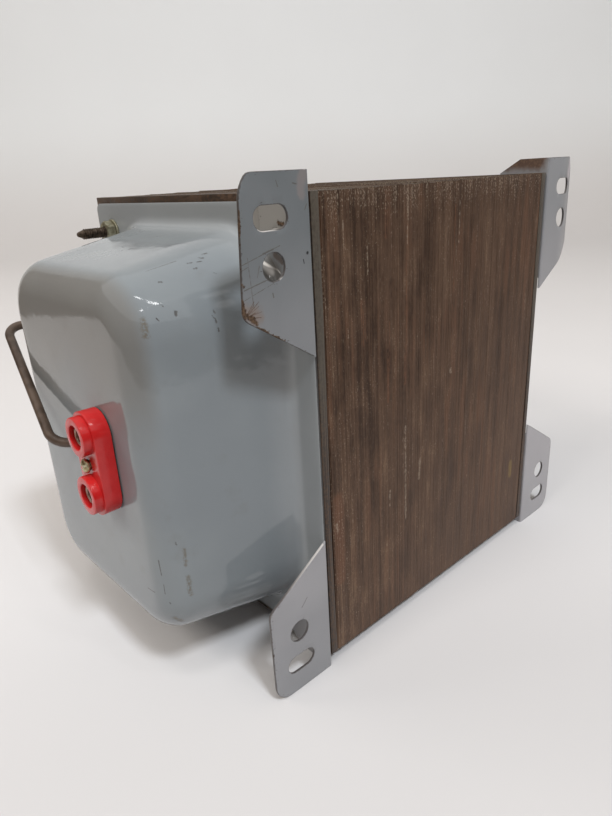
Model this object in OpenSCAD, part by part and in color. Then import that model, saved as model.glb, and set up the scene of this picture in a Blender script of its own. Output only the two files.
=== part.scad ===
// Voltage transformer: laminated core, two bell covers, four mounting ears.
// +Z is up, -Y is the socket end, +X is the side with the mounting ears.
// The origin is the middle of the ears' slot pattern, on their outer faces.

/* [Core] */
// Height of the lamination outline
core_h = 150; // [144:1:156]
// Width of the lamination outline
core_w = 125; // [120:1:130]
// Thickness of the whole stack, end packets included
stack_t = 123.5; // [110:0.5:136]
// Thickness of the loose packet at each end of the stack
packet_t = 3; // [2:0.5:5]
// Width of the slit behind each end packet
slit_w = 0.4; // [0.2:0.1:0.8]
// Depth of that slit
slit_d = 1.5; // [0.5:0.5:3]
// How far the core's middle sits below the ears' middle
core_drop = 0.8; // [0:0.1:1]
// How far the ears stand proud of the core's side
ear_proud = 0.4; // [0.2:0.1:1]
// Distance of each tie bolt from the core's edges
bolt_inset = 12.5; // [12:0.5:14]

/* [Bell covers] */
// Thickness of the covers' flanges
flange_t = 0.8; // [0.6:0.1:1.5]
// Width of the flanges
flange_w = 124; // [118:1:125]
// Height of the flanges
flange_h = 145.6; // [140:0.2:148]
// Corner radius of the flanges
flange_r = 3; // [1:0.5:5]
// Depth of the front cover, from the core's front
front_depth = 47; // [44:1:50]
// Depth of the back cover, from the core's back
back_depth = 36; // [32:1:44]
// Width of a cover where it meets its flange
bell_w = 102.5; // [98:0.5:106]
// Height of a cover where it meets its flange
bell_h = 127; // [120:0.5:128]
// Width of the front cover at the plane of its flat face
face_w = 88.4; // [84:0.2:92]
// Height of the front cover at the plane of its flat face
face_h = 116; // [110:0.5:118]
// Outline corner radius at the flange
root_r = 27; // [25:1:30]
// Outline corner radius at the flat face
face_r = 19; // [16:1:22]
// Radius between a cover's face and its walls
edge_r = 11; // [6:1:12]

/* [Mounting ears] */
// Thickness of the bracket plate
plate_t = 0.8; // [0.6:0.1:1.5]
// Radius on the outside of the bracket's bend
bend_r = 0.6; // [0.4:0.1:1]
// Reach of each ear from the core's face
ear_reach = 25; // [24:0.5:28]
// Distance between the upper and lower ends of the ears
ear_span = 159; // [158:0.5:160]
// Height of an ear along its outer edge
ear_edge_h = 34.5; // [33:0.5:36]
// Height of an ear along its bend
ear_bend_h = 49.5; // [48:0.5:51]
// Radius of the ear's outer end corner
ear_end_r = 6; // [3:0.5:7]
// Radius of the ear's slanted corner
ear_slant_r = 4; // [2:0.5:6]
// Distance between the slots along Y
slot_pitch_y = 151.5; // [150:0.5:153]
// Distance between the slots along Z
slot_pitch_z = 137.5; // [136:0.5:138]
// Length of each slot
slot_l = 11; // [9:0.5:12]
// Width of each slot
slot_w = 6; // [5:0.1:6.5]
// Distance between the round holes along Z
hole_pitch_z = 113.5; // [112:0.5:115]
// Diameter of the round holes
hole_d = 7.3; // [6:0.1:8]

/* [Tie bolts] */
// Diameter of the tie bolts
bolt_d = 4; // [4:0.5:5]
// Distance across the flats of the nuts and heads
nut_af = 7; // [7:0.5:8]
// Height of a nut
nut_h = 3.2; // [2.8:0.1:4]
// Height of a bolt head
head_h = 1.4; // [1:0.1:3.5]
// Diameter of a washer
washer_d = 9; // [8.5:0.5:10]
// Thickness of a washer
washer_t = 0.8; // [0.6:0.1:1.2]
// Length of a bolt that stands out of its nut
tail_l = 1; // [0.5:0.5:2]
// Reach of the long earth stud from the core's front
stud_reach = 15.6; // [12:0.1:20]

/* [Socket] */
// Distance of the socket's middle from the core's middle, towards the ears
socket_x = 17; // [12:0.5:18]
// Height of the socket's middle above the core's middle
socket_z = 1.9; // [-5:0.1:5]
// Distance between the two contacts
pin_pitch = 19; // [18:0.5:20]
// Width of the socket's base
base_w = 14.4; // [13.5:0.1:15]
// Thickness of the socket's base
base_t = 5.1; // [4:0.1:6]
// Diameter of the collars
collar_d = 12.2; // [11.5:0.1:12.6]
// Height of the collars
collar_h = 2.6; // [2:0.1:3.5]
// Diameter of a collar's mouth
mouth_d = 7.6; // [7:0.1:8]
// Depth of a collar's mouth
mouth_t = 2.4; // [1.5:0.1:4]
// Thickness of the gasket under the base
gasket_t = 0.6; // [0.4:0.1:1]
// Outside diameter of a contact tube
tube_d = 6; // [5.4:0.1:6.2]
// Bore of a contact tube
tube_bore = 4; // [4:0.1:4.2]
// Length of a contact tube
tube_l = 18; // [12:1:20]
// Diameter of the screw head between the collars
screw_d = 4.6; // [4.4:0.1:5.4]
// Height of that screw head
screw_h = 2.2; // [1.8:0.1:2.6]

/* [Bent rod] */
// Diameter of the rod across the front cover
rod_d = 3.2; // [3:0.1:3.6]
// Radius of its bends, on the rod's axis
rod_bend_r = 6; // [5:0.5:7]

/* [Hidden] */
core_z = -core_drop;
core_mid_x = -ear_proud - core_w / 2;
face_y = stack_t / 2;
front_y = -face_y - front_depth;
bolt_x = [-ear_proud - bolt_inset, -ear_proud - core_w + bolt_inset];
bolt_dz = core_h / 2 - bolt_inset;
bolt_clear = 0.5;
ear_top = ear_span / 2;
leg_y = face_y + flange_t;
slot_head = 0.8;
slot_turn = 25;
screw_core = 3;
running_gap = 0.2;
arc_steps = 6;
rod_steps = 8;
rod_sides = 12;
$fn = 48;

// Corners of the bracket's clamped leg: distance from the ear's outer face,
// distance below the ear's upper end
leg_outline = [[0, 0], [12, 0], [20.5, 4.9], [20.5, 18.5], [17, 22], [8, 33],
    [6, 38], [5, 42], [0, 46]];

// Corners of the rod's axis, from inside the far wall to inside the face
rod_route = [[-100, -90, 31.2], [-119.4, -90, 31.2], [-119.4, -107.6, 31.2],
    [-68.9, -115.9, 0.2], [-68.9, -102, 0.2]];

// ---- helpers ----

function unit(v) = v / norm(v);

// Points of the arc that rounds the corner b of the path a-b-c, in 2D or 3D
function corner_arc(a, b, c, r, steps) =
    let (u = unit(a - b), v = unit(c - b), half = acos(u * v) / 2,
         mid = b + unit(u + v) * r / sin(half), first = unit(b + u * r / tan(half) - mid),
         last = unit(b + v * r / tan(half) - mid), sweep = 180 - 2 * half)
    [for (i = [0 : steps])
        let (s = i / steps)
        mid + r * (sin((1 - s) * sweep) * first + sin(s * sweep) * last) / sin(sweep)];

// Moves a drawing of the front end, drawn flat with +Z outwards, onto the core's front
module on_front(depth = 0)
    translate([core_mid_x, -face_y - depth, core_z]) rotate([90, 0, 0]) children();

// The same for the core's back
module on_back(depth = 0)
    translate([core_mid_x, face_y + depth, core_z]) rotate([90, 0, 180]) children();

module at_bolts()
    for (x = [-1, 1], y = [-1, 1])
        translate([x * (core_w / 2 - bolt_inset), y * bolt_dz, 0]) children();

module rounded_rect(w, h, r)
    union() {
        square([w - 2 * r, h], center = true);
        square([w, h - 2 * r], center = true);
        for (x = [-1, 1], y = [-1, 1])
            translate([x * (w / 2 - r), y * (h / 2 - r)]) circle(r);
    }

module hexagon(af, h) rotate(30) cylinder(h = h, d = af / cos(30), $fn = 6);

// A plate with round ends, pitch long between the ends' centres
module stadium(pitch, w, h) {
    for (y = [-1, 1]) translate([0, y * pitch / 2, 0]) cylinder(h = h, d = w);
    translate([-w / 2, -pitch / 2, 0]) cube([w, pitch, h]);
}

// A slot along Y through a plate that lies in the YZ plane
module slot_cut(l, w, t) {
    for (y = [-1, 1])
        translate([-t, y * (l - w) / 2, 0]) rotate([0, 90, 0]) cylinder(h = 2 * t, d = w);
    translate([-t, -(l - w) / 2, -w / 2]) cube([2 * t, l - w, w]);
}

// ---- laminated core ----

module core_slab(t, inset = 0)
    linear_extrude(t) difference() {
        square([core_w - 2 * inset, core_h - 2 * inset], center = true);
        at_bolts() circle(d = bolt_d + bolt_clear);
    }

module lamination_stack() color([0.34, 0.26, 0.21])
    on_front() translate([0, 0, packet_t - stack_t]) {
        core_slab(stack_t - 2 * packet_t, slit_d);
        translate([0, 0, slit_w]) core_slab(stack_t - 2 * packet_t - 2 * slit_w);
    }

module front_packet() color([0.40, 0.35, 0.29]) on_front(-packet_t) core_slab(packet_t);

module back_packet() color([0.40, 0.35, 0.29]) on_back(-packet_t) core_slab(packet_t);

// ---- bell covers ----

// A deeper or shallower cover keeps the slope of its walls
module bell_form(depth) {
    part = (depth - flange_t) / (front_depth - flange_t);
    half_w = bell_w / 2 - part * (bell_w - face_w) / 2;
    half_h = bell_h / 2 - part * (bell_h - face_h) / 2;
    hull() {
        for (x = [-1, 1], y = [-1, 1]) {
            translate([x * (bell_w / 2 - root_r), y * (bell_h / 2 - root_r), flange_t / 2])
                cylinder(h = flange_t / 2, r = root_r, $fn = 64);
            translate([x * (half_w - face_r), y * (half_h - face_r), depth - edge_r])
                rotate_extrude($fn = 48) translate([face_r - edge_r, 0]) intersection() {
                    circle(edge_r, $fn = 48);
                    square(2 * edge_r);
                }
        }
    }
}

module flange()
    linear_extrude(flange_t) difference() {
        rounded_rect(flange_w, flange_h, flange_r);
        at_bolts() circle(d = bolt_d + bolt_clear);
    }

// Blind holes in the front cover for the contacts, the socket's screw and the rod
module front_bell_holes() {
    pocket = gasket_t + base_t + collar_h - mouth_t;
    translate([socket_x, socket_z, front_depth]) {
        for (y = [-1, 1]) translate([0, y * pin_pitch / 2, pocket - tube_l - 1])
            cylinder(h = tube_l + 1, d = tube_d + 2 * running_gap);
        translate([0, 0, -6]) cylinder(h = 7, d = screw_core + 2 * running_gap);
    }
}

module rod_holes() {
    translate(rod_route[4] - [0, 1, 0]) rotate([90, 0, 0])
        cylinder(h = 20, d = rod_d + 2 * running_gap);
    translate(rod_route[0] + [1, 0, 0]) rotate([0, -90, 0])
        cylinder(h = 20, d = rod_d + 2 * running_gap);
}

module front_bell() color([0.55, 0.58, 0.60]) difference() {
    on_front() difference() {
        union() {
            bell_form(front_depth);
            flange();
        }
        front_bell_holes();
    }
    rod_holes();
}

module back_bell() color([0.55, 0.58, 0.60]) on_back() {
    bell_form(back_depth);
    flange();
}

// ---- mounting ears ----

// Outline of the flat ear: reach from the core's face, height above the middle
function ear_outline() =
    let (top = ear_top, low = top - ear_edge_h, heel = top - ear_bend_h)
    concat([[flange_t, heel]],
        corner_arc([flange_t, heel], [ear_reach, low], [ear_reach, top], ear_slant_r, arc_steps),
        corner_arc([ear_reach, low], [ear_reach, top], [flange_t, top], ear_end_r, arc_steps),
        [[flange_t, top]]);

// What the bend's rounded outside takes off a square corner
module bend_shaving()
    translate([-bend_r, -leg_y - bend_r, 0]) difference() {
        translate([0, 0, ear_top - ear_bend_h - 1]) cube([bend_r + 1, bend_r + 1, ear_bend_h + 2]);
        cylinder(h = 2 * ear_span, r = bend_r, center = true);
    }

// The upper front bracket; the other three are its mirror images
module bracket() {
    hole_reach = slot_pitch_y / 2 - face_y;
    difference() {
        union() {
            // flat ear
            translate([0, -face_y, 0]) rotate([90, 0, -90])
                linear_extrude(plate_t) polygon(ear_outline());
            // clamped leg
            translate([0, -leg_y, ear_top]) rotate([90, 0, 0]) linear_extrude(plate_t)
                polygon([for (p = leg_outline) [-p[0], -p[1]]]);
        }
        bend_shaving();
        translate([0, -face_y - hole_reach, slot_pitch_z / 2]) slot_cut(slot_l, slot_w, 2 * plate_t);
        translate([1, -face_y - hole_reach, hole_pitch_z / 2]) rotate([0, -90, 0])
            cylinder(h = plate_t + 2, d = hole_d);
        translate([bolt_x[0], 1 - leg_y, core_z + bolt_dz]) rotate([90, 0, 0])
            cylinder(h = plate_t + 2, d = bolt_d + bolt_clear + 2 * core_drop);
    }
}

module ear_front_top() color([0.46, 0.49, 0.50]) bracket();

module ear_front_bottom() color([0.46, 0.49, 0.50]) mirror([0, 0, 1]) bracket();

module ear_back_top() color([0.46, 0.49, 0.50]) mirror([0, 1, 0]) bracket();

module ear_back_bottom() color([0.46, 0.49, 0.50])
    mirror([0, 1, 0]) mirror([0, 0, 1]) bracket();

// ---- tie bolts ----

// What a bolt clamps between the core and its nut or head: a near bolt also holds a bracket
function under(near) = flange_t + (near ? plate_t : 0);

module bolt_place(near, top)
    translate([bolt_x[near ? 0 : 1], 0, core_z + (top ? bolt_dz : -bolt_dz)]) children();

// A head and its shank, drawn from the head's outer end along +Z
module bolt_form(length) {
    tip = 1.5;
    hexagon(nut_af, head_h);
    rotate_extrude() polygon([[0, 0], [bolt_d / 2, 0], [bolt_d / 2, length - tip],
                              [bolt_d / 2 - 0.8, length], [0, length]]);
}

// Distance from the core's end to the seat of a nut on its washer, and to a short bolt's tip
function nut_seat(near) = under(near) + washer_t;
function tip_reach(near) = nut_seat(near) + nut_h + tail_l;

// Near bolts have their heads at the front, straight on the bracket
module near_bolt(top) color([0.50, 0.50, 0.48]) bolt_place(true, top)
    translate([0, -face_y - under(true) - head_h, 0]) rotate([-90, 0, 0])
        bolt_form(head_h + under(true) + stack_t + tip_reach(true));

// Far bolts have their heads at the back; reach is how far the other end stands out
module far_bolt(top, reach) color([0.36, 0.33, 0.28]) bolt_place(false, top)
    translate([0, face_y + nut_seat(false) + head_h, 0]) rotate([90, 0, 0])
        bolt_form(head_h + nut_seat(false) + stack_t + reach);

module bolt_near_top() near_bolt(true);
module bolt_near_bottom() near_bolt(false);
module bolt_far_top() far_bolt(true, stud_reach);
module bolt_far_bottom() far_bolt(false, tip_reach(false));

// Near nuts sit at the back, far nuts at the front
module nut(near, top) color([0.59, 0.58, 0.50]) bolt_place(near, top)
    rotate([near ? -90 : 90, 0, 0]) translate([0, 0, face_y + nut_seat(near)]) difference() {
        hexagon(nut_af, nut_h);
        translate([0, 0, -1]) cylinder(h = nut_h + 2, d = bolt_d + running_gap);
    }

module nut_near_top() nut(true, true);
module nut_near_bottom() nut(true, false);
module nut_far_top() nut(false, true);
module nut_far_bottom() nut(false, false);

module washer(near, top, front) color([0.66, 0.66, 0.62]) bolt_place(near, top)
    rotate([front ? 90 : -90, 0, 0]) translate([0, 0, face_y + under(near)]) difference() {
        cylinder(h = washer_t, d = washer_d);
        translate([0, 0, -1]) cylinder(h = washer_t + 2, d = bolt_d + running_gap);
    }

module front_washer_far_top() washer(false, true, true);
module front_washer_far_bottom() washer(false, false, true);
module back_washer_near_top() washer(true, true, false);
module back_washer_near_bottom() washer(true, false, false);
module back_washer_far_top() washer(false, true, false);
module back_washer_far_bottom() washer(false, false, false);

// ---- twin socket ----

module on_socket(height = 0)
    on_front(front_depth) translate([socket_x, socket_z, height]) children();

module socket_gasket() color([0.12, 0.12, 0.12]) on_socket() difference() {
    stadium(pin_pitch, base_w, gasket_t);
    for (y = [-1, 1]) translate([0, y * pin_pitch / 2, -1])
        cylinder(h = gasket_t + 2, d = tube_d + 2 * running_gap);
    translate([0, 0, -1]) cylinder(h = gasket_t + 2, d = screw_core + 2 * running_gap);
}

module socket_body() color([0.75, 0.14, 0.14]) on_socket(gasket_t) difference() {
    union() {
        stadium(pin_pitch, base_w, base_t);
        for (y = [-1, 1]) translate([0, y * pin_pitch / 2, 0])
            cylinder(h = base_t + collar_h, d = collar_d);
    }
    for (y = [-1, 1]) translate([0, y * pin_pitch / 2, 0]) {
        translate([0, 0, -1]) cylinder(h = base_t + 2, d = tube_d);
        translate([0, 0, base_t + collar_h - mouth_t]) cylinder(h = mouth_t + 1, d = mouth_d);
    }
    translate([0, 0, -1]) cylinder(h = base_t + 2, d = screw_core + 2 * running_gap);
}

// side is 1 for the upper contact and -1 for the lower one
module contact(side) color([0.72, 0.60, 0.36])
    on_socket(gasket_t + base_t + collar_h - mouth_t) translate([0, side * pin_pitch / 2, -tube_l])
        difference() {
            cylinder(h = tube_l, d = tube_d);
            translate([0, 0, 1]) cylinder(h = tube_l, d = tube_bore);
        }

module contact_upper() contact(1);
module contact_lower() contact(-1);

module socket_screw() color([0.66, 0.62, 0.46]) on_socket(gasket_t + base_t) {
    difference() {
        cylinder(h = screw_h, d = screw_d);
        rotate(slot_turn) translate([-screw_d, -slot_head / 2, screw_h / 2])
            cube([2 * screw_d, slot_head, screw_h]);
    }
    translate([0, 0, -base_t - gasket_t - 5]) cylinder(h = base_t + gasket_t + 5.1, d = screw_core);
}

// ---- bent rod ----

function rod_axis() = concat([rod_route[0]],
    [for (i = [1 : 3], p = corner_arc(rod_route[i - 1], rod_route[i], rod_route[i + 1],
                                      rod_bend_r, rod_steps)) p],
    [rod_route[4]]);

function rod_ring(path, i) =
    let (last = len(path) - 1, along = unit(path[min(i + 1, last)] - path[max(i - 1, 0)]),
         side = unit(cross(along, [0, 0, 1])), up = cross(side, along))
    [for (k = [0 : rod_sides - 1])
        path[i] + rod_d / 2 * (cos(360 * k / rod_sides) * side + sin(360 * k / rod_sides) * up)];

module bent_rod() color([0.33, 0.28, 0.24]) {
    path = rod_axis();
    rings = len(path);
    polyhedron(
        points = [for (i = [0 : rings - 1], p = rod_ring(path, i)) p],
        faces = concat(
            [[for (k = [0 : rod_sides - 1]) k]],
            [for (i = [0 : rings - 2], k = [0 : rod_sides - 1])
                let (a = i * rod_sides + k, b = i * rod_sides + (k + 1) % rod_sides)
                [a, a + rod_sides, b + rod_sides, b]],
            [[for (k = [rod_sides - 1 : -1 : 0]) (rings - 1) * rod_sides + k]]));
}

lamination_stack();
front_packet();
back_packet();
front_bell();
back_bell();
ear_front_top();
ear_front_bottom();
ear_back_top();
ear_back_bottom();
bolt_near_top();
bolt_near_bottom();
bolt_far_top();
bolt_far_bottom();
nut_near_top();
nut_near_bottom();
nut_far_top();
nut_far_bottom();
front_washer_far_top();
front_washer_far_bottom();
back_washer_near_top();
back_washer_near_bottom();
back_washer_far_top();
back_washer_far_bottom();
socket_body();
socket_gasket();
contact_upper();
contact_lower();
socket_screw();
bent_rod();
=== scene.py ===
import math
import random

import bmesh
import bpy
from mathutils import Matrix, Quaternion, Vector, noise
from mathutils.kdtree import KDTree


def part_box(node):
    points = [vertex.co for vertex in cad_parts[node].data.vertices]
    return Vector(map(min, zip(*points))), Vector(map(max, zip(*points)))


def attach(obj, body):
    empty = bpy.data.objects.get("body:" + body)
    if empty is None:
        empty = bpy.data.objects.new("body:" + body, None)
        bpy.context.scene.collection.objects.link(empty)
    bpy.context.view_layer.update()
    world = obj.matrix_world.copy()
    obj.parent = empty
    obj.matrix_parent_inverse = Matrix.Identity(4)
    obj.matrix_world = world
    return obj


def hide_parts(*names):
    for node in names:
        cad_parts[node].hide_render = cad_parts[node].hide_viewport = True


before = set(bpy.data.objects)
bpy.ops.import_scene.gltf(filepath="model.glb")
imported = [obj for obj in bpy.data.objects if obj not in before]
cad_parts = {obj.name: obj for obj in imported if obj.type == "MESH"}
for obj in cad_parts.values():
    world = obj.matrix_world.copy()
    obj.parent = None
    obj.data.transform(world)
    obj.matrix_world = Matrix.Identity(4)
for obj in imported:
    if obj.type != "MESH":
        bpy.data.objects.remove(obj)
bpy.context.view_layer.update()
scene = bpy.context.scene
mm = 0.001    # sizes below are in millimetres


camera = {"place": (122.1, -176.1, 77.8), "azimuth": 48.42, "elevation": 20.61, "roll": -3.27,
          "lens": 27.16}
# place of the middle, size across and along, watts, tint; only the tubes, which have a direction,
# show in the gloss
lamps = {
    "key": {"place": (886, -231, 1253), "size": (230, 230), "watts": 13.2, "tint": (0.94, 1, 1.06)},
    "overHead": {"place": (325, -459, 1484), "size": (300, 300), "watts": 2.4},
    "frontWindow": {"place": (-60, -1131, 1131), "size": (500, 500), "watts": 6.3, "tint": (1.05, 1, 0.94)},
    "rightSide": {"place": (955, 851, 704), "size": (600, 600), "watts": 1.0, "tint": (1.06, 1, 0.92)},
    "leftSide": {"place": (-929, -869, 860), "size": (600, 600), "watts": 4.8, "tint": (1.05, 1, 0.94)},
    "nearTube": {"place": (384, -306, 1450), "size": (30, 410), "watts": 1.1, "along": (0.65, 0.76, 0)},
    "farTube": {"place": (810, 71, 1450), "size": (30, 370), "watts": 1.0, "along": (0.94, 0.35, 0)},
    "sideTube": {"place": (1094, -698, 1450), "size": (36, 400), "watts": 1.1, "along": (0.37, 0.93, 0)},
}
stage = {"aim": (-60, 0, 0), "skyLight": 0.32, "skyTint": (1.14, 1, 0.85, 1), "skySeen": 0.8,
         "half": 2600, "wallAt": 1500, "wallHigh": 2200, "cove": 500, "coveSteps": 12,
         "table": (0.725, 0.712, 0.715, 1), "wall": (0.88, 0.91, 0.94, 1), "nearer": 0.9,
         "paleAt": (-60, 260), "nearerAt": (20, -90)}    # up the wall, and away from the viewer


def show(name, data):
    shown = bpy.data.objects.new(name, data)
    scene.collection.objects.link(shown)
    return shown


def placeCamera():
    a, e = math.radians(camera["azimuth"]), math.radians(camera["elevation"])
    back = Vector((math.sin(a) * math.cos(e), -math.cos(a) * math.cos(e), math.sin(e)))
    data = bpy.data.cameras.new("camera")
    data.lens = camera["lens"]
    data.clip_start = 0.005
    eye = show("camera", data)
    eye.rotation_mode = "QUATERNION"
    eye.location = Vector(camera["place"]) * mm
    eye.rotation_quaternion = (-back).to_track_quat("-Z", "Y") @ Quaternion(
        (0, 0, 1), math.radians(camera["roll"]))
    scene.camera = eye


def placeLamps():
    target = Vector(stage["aim"]) * mm
    for name, lamp in lamps.items():
        data = bpy.data.lights.new(name, "AREA")
        data.shape = "RECTANGLE"
        data.size, data.size_y = (side * mm for side in lamp["size"])
        data.energy = lamp["watts"]
        data.color = lamp.get("tint", (1, 1, 1))
        shown = show(name, data)
        shown.location = Vector(lamp["place"]) * mm
        back = (shown.location - target).normalized()
        across = Vector(lamp.get("along", (0, 0, 1))).cross(back).normalized()
        shown.rotation_mode = "QUATERNION"
        shown.rotation_quaternion = Matrix((across, back.cross(across), back)).transposed().to_quaternion()
        shown.visible_glossy = "along" in lamp


# helpers for the meshes; they work in millimetres, and finishMesh turns them into metres

def spanOf(node):
    low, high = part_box(node)
    return low / mm, high / mm


def loft(bm, rings, closed=True):
    loops = [[bm.verts.new(p) for p in ring] for ring in rings]
    for a, b in zip(loops, loops[1:]):
        for i in range(len(a)):
            j = (i + 1) % len(a)
            bm.faces.new((a[i], a[j], b[j], b[i]))
    if closed:
        bm.faces.new(loops[0][::-1])
        bm.faces.new(loops[-1])


def turnsOf(steps):
    return [2 * math.pi * k / steps for k in range(steps)]


def circle(radius, z, steps):
    return [Vector((radius * math.cos(a), radius * math.sin(a), z)) for a in turnsOf(steps)]


def lathe(bm, profile, steps=32, closed=True):    # profile: radius and height
    loft(bm, [circle(r, z, steps) for r, z in profile], closed)


def roundedOutline(halfWidth, halfHeight, radius, perCorner=14, perSide=12):
    points = []
    for sx, sz, start in ((1, 1, 0), (-1, 1, 90), (-1, -1, 180), (1, -1, 270)):
        middle = Vector((sx * (halfWidth - radius), sz * (halfHeight - radius)))
        for k in range(perCorner + 1):
            a = math.radians(start + 90 * k / perCorner)
            points.append(middle + radius * Vector((math.cos(a), math.sin(a))))
    outline = []
    for i, p in enumerate(points):
        outline.append(p)
        if i % (perCorner + 1) == perCorner:
            nextPoint = points[(i + 1) % len(points)]
            outline += [p.lerp(nextPoint, k / perSide) for k in range(1, perSide)]
    return outline


def finishMesh(bm, name, angle, outward=True):
    if outward:
        bmesh.ops.recalc_face_normals(bm, faces=bm.faces)
    bmesh.ops.scale(bm, vec=(mm, mm, mm), verts=bm.verts)
    mesh = bpy.data.meshes.new(name)
    bm.to_mesh(mesh)
    bm.free()
    mesh.polygons.foreach_set("use_smooth", [True] * len(mesh.polygons))
    mesh.set_sharp_from_angle(angle=math.radians(angle))
    return mesh


def addPiece(node, mesh, material):
    mesh.materials.clear()    # a grown mesh comes with an empty slot
    mesh.materials.append(material)
    piece = show(mesh.name, mesh)
    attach(piece, "root")
    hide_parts(node)


def finishPiece(node, bm, material, angle=40):    # front_bell becomes frontBell
    first, *others = node.split("_")
    name = first + "".join(word.capitalize() for word in others)
    addPiece(node, finishMesh(bm, name, angle), material)


def copyOf(node):
    bm = bmesh.new()
    bm.from_mesh(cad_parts[node].data)
    bmesh.ops.scale(bm, vec=(1 / mm, 1 / mm, 1 / mm), verts=bm.verts)
    bmesh.ops.remove_doubles(bm, verts=bm.verts, dist=0.002)
    bmesh.ops.dissolve_limit(bm, angle_limit=math.radians(1.5), verts=bm.verts, edges=bm.edges)
    return bm


def joinTo(bm, other):
    mesh = bpy.data.meshes.new("joined")
    other.to_mesh(mesh)
    other.free()
    bm.from_mesh(mesh)


def roundEdges(bm, width, segments=2, minAngle=35):
    sharp = [e for e in bm.edges if len(e.link_faces) == 2 and e.is_convex
             and e.calc_face_angle() > math.radians(minAngle)]
    bmesh.ops.bevel(bm, geom=sharp, offset=width, segments=segments, profile=0.5,
                    affect="EDGES", clamp_overlap=True)


def cutAt(bm, place, direction):
    bmesh.ops.bisect_plane(bm, geom=bm.verts[:] + bm.edges[:] + bm.faces[:], dist=1e-4,
                           plane_co=place, plane_no=direction)


def smooth(t):
    t = min(1, max(0, t))
    return t * t * (3 - 2 * t)


def rgb(r, g, b):    # a colour as it is seen on a screen, 0 to 255
    def linear(c):
        c = c / 255
        return c / 12.92 if c <= 0.04045 else ((c + 0.055) / 1.055) ** 2.4
    return (linear(r), linear(g), linear(b), 1)


def put(tree, kind, inputs=(), out=0, **settings):
    made = tree.nodes.new(kind)
    for key, value in settings.items():
        setattr(made, key, value)
    for key, value in (inputs.items() if isinstance(inputs, dict) else enumerate(inputs)):
        if isinstance(value, bpy.types.NodeSocket):
            tree.links.new(value, made.inputs[key])
        else:
            made.inputs[key].default_value = value
    return made.outputs[out]


def newMaterial(name, **sockets):
    material = bpy.data.materials.new(name)
    material.use_nodes = True
    tree = material.node_tree
    tree.nodes.clear()
    shader = tree.nodes.new("ShaderNodeBsdfPrincipled")
    output = tree.nodes.new("ShaderNodeOutputMaterial")
    tree.links.new(shader.outputs[0], output.inputs[0])
    for key, value in sockets.items():
        shader.inputs[key].default_value = value
    local = put(tree, "ShaderNodeTexCoord", out="Object")
    place = put(tree, "ShaderNodeMapping", {"Vector": local, "Scale": (1 / mm, 1 / mm, 1 / mm)})
    return material, shader, place


# the helpers for the finishes find their tree from a socket that they are given

def calc(operation, a, b=0.0, clamp=False):
    tree = (a if isinstance(a, bpy.types.NodeSocket) else b).id_data
    return put(tree, "ShaderNodeMath", (a, b), operation=operation, use_clamp=clamp)


def vectorCalc(operation, a, b, out="Value"):
    return put(a.id_data, "ShaderNodeVectorMath", (a, b), out=out, operation=operation)


def plus(a, b):
    return calc("ADD", a, b)


def minus(a, b):
    return calc("SUBTRACT", a, b)


def times(a, b):
    return calc("MULTIPLY", a, b)


def most(a, b):
    return calc("MAXIMUM", a, b)


def centred(noisy, amount):    # noise about zero, of that size
    return times(minus(noisy, 0.5), amount)


def mixOf(first, *others):    # noises, each with its share
    total = times(*first)
    for noisy, share in others:
        total = plus(total, times(noisy, share))
    return total


def step(value, low, high, to=(0.0, 1.0)):    # a smooth step; low may be above high
    return put(value.id_data, "ShaderNodeMapRange",
               {"Value": value, "From Min": low, "From Max": high, "To Min": to[0], "To Max": to[1]},
               interpolation_type="SMOOTHSTEP")


def blend(factor, a, b):
    return put(factor.id_data, "ShaderNodeMix", {0: factor, 6: a, 7: b}, out=2, data_type="RGBA")


def cover(colour, mask, over, strength=1):
    return blend(mask if strength == 1 else times(mask, strength), colour, over)


def coated(colour, finish, **masks):    # lays the finish's layers of those names over the colour
    for name, mask in masks.items():
        colour = cover(colour, mask, *finish[name])
    return colour


def partOf(vector, axis):
    return put(vector.id_data, "ShaderNodeSeparateXYZ", (vector,), out=axis)


def facing(place, axis):
    return partOf(put(place.id_data, "ShaderNodeTexCoord", out="Normal"), axis)


def attribute(place, name):
    return put(place.id_data, "ShaderNodeAttribute", out="Fac", attribute_name=name)


def grain(place, size, detail=2.0, shift=0.0, stretch=(1, 1, 1)):
    scaled = put(place.id_data, "ShaderNodeMapping",
                 {"Vector": place, "Scale": tuple(s / size for s in stretch),
                  "Location": (shift, shift * 1.7, shift * 0.6)})
    return put(place.id_data, "ShaderNodeTexNoise", {"Vector": scaled, "Scale": 1.0, "Detail": detail})


def feed(shader, colour, roughness=None, height=None, distance=1.0, strength=1.0):
    tree = shader.id_data
    tree.links.new(colour, shader.inputs["Base Color"])
    if roughness is not None:
        tree.links.new(roughness, shader.inputs["Roughness"])
    if height is not None:
        normal = put(tree, "ShaderNodeBump",
                     {"Height": height, "Distance": distance * mm, "Strength": strength})
        tree.links.new(normal, shader.inputs["Normal"])


def newGroup(name, kind, result, **given):    # given: the kind of each input
    group = bpy.data.node_groups.new(name, kind)
    group.interface.new_socket("result", in_out="OUTPUT", socket_type="NodeSocket" + result)
    for label, form in given.items():
        group.interface.new_socket(label, in_out="INPUT", socket_type="NodeSocket" + form)
    return group, group.nodes.new("NodeGroupInput").outputs


def closeGroup(group, result):
    group.links.new(result, group.nodes.new("NodeGroupOutput").inputs[0])


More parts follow.
